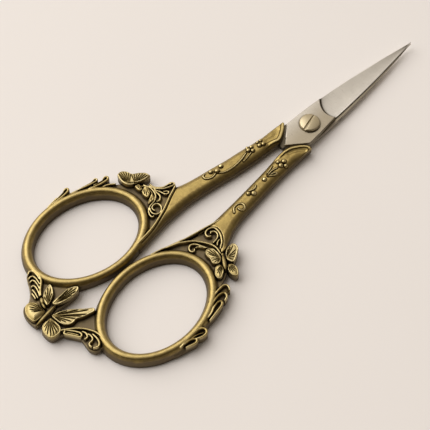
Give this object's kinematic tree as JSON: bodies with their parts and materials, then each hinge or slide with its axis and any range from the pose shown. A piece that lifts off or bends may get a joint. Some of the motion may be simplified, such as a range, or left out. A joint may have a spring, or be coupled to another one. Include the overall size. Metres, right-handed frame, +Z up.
{
  "type": "embroidery scissors",
  "caption": "Fine-pointed embroidery scissors with cast bronze handles: oval finger rings, scrolls, beads and butterflies, steel blades and a slotted pivot screw.",
  "frame": {"origin": "on the pivot axis, at the level of the surface on which the scissors lie", "axes": "+X from the pivot to the points of the closed blades, +Y to the left handle, +Z up along the pivot axis, towards the screw's slotted head"},
  "size_m": [0.1249, 0.0527, 0.0041],
  "materials": {
    "blade_steel": "satin ground steel, with fine lines along the hollow ground blade",
    "screw_metal": "satin, warm grey, slightly worn at the slot",
    "cast_bronze": "antique bronze: dark in the hollows, rubbed bright on the crests",
    "wing_bronze": "antique bronze with bright ribs and rims"
  },
  "bodies": {
    "left_half": {"left_handle": "cast_bronze", "back_blade": "blade_steel", "pivot_screw": "screw_metal", "pivot_nut": "screw_metal", "left_bow_butterfly": "wing_bronze", "left_tail_butterfly": "wing_bronze"},
    "right_half": {"right_handle": "cast_bronze", "front_blade": "blade_steel", "right_bow_butterfly": "wing_bronze", "right_tail_butterfly": "wing_bronze"}
  },
  "joints": [
    {"name": "pivot", "type": "hinge", "parent": "left_half", "child": "right_half", "pos_m": [0, 0, 0.0016], "axis": [0, 0, 1], "range_deg": [0, 75]}
  ]
}
